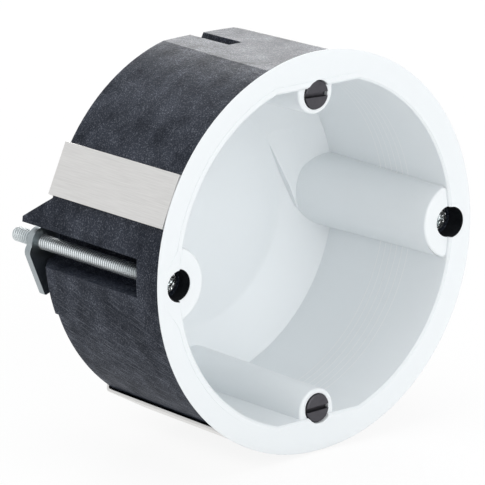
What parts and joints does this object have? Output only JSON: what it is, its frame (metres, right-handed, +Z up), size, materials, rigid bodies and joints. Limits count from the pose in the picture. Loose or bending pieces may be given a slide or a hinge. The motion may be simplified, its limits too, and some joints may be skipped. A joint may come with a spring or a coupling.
{
  "type": "fire-rated back box",
  "caption": "Round flush back box for hollow walls: white cup with flange in a charcoal fire shell, steel straps, swing-out claws on long clamp screws, slotted device screws.",
  "frame": {"origin": "centre of the opening, in the flange's front plane", "axes": "+Y into the wall along the box's axis, +X to the right as seen from the room, +Z up"},
  "size_m": [0.077, 0.0489, 0.077],
  "materials": {
    "white_plastic": "white moulded polypropylene, softly glossy",
    "fire_compound": "charcoal moulded intumescent compound, matt with fine flecks",
    "strap_steel": "cold rolled strip, brushed along its length",
    "zinc_steel": "bright zinc plated",
    "dark_steel": "dark passivated"
  },
  "bodies": {
    "box": {"inner_box": "white_plastic", "fire_shell": "fire_compound", "strap_cage": "strap_steel"},
    "clamp_screw_left": {"clamp_screw_l": "zinc_steel"},
    "clamp_screw_right": {"clamp_screw_r": "zinc_steel"},
    "claw_left": {"claw_l": "zinc_steel"},
    "claw_right": {"claw_r": "zinc_steel"},
    "device_screw_top": {"device_screw_t": "dark_steel"},
    "device_screw_bottom": {"device_screw_b": "dark_steel"}
  },
  "joints": [
    {"name": "clamp_swing_left", "type": "hinge", "parent": "box", "child": "clamp_screw_left", "pos_m": [-0.0331, 0, 0], "axis": [0, 1, 0], "range_deg": [0, 112]},
    {"name": "clamp_swing_right", "type": "hinge", "parent": "box", "child": "clamp_screw_right", "pos_m": [0.0331, 0, 0], "axis": [0, 1, 0], "range_deg": [0, 112]},
    {"name": "claw_travel_left", "type": "slide", "parent": "clamp_screw_left", "child": "claw_left", "axis": [0, -1, 0], "range_m": [-0.006, 0]},
    {"name": "claw_travel_right", "type": "slide", "parent": "clamp_screw_right", "child": "claw_right", "axis": [0, -1, 0], "range_m": [-0.006, 0]},
    {"name": "device_screw_out_top", "type": "slide", "parent": "box", "child": "device_screw_top", "axis": [0, -1, 0], "range_m": [0, 0.008]},
    {"name": "device_screw_out_bottom", "type": "slide", "parent": "box", "child": "device_screw_bottom", "axis": [0, -1, 0], "range_m": [0, 0.008]}
  ]
}
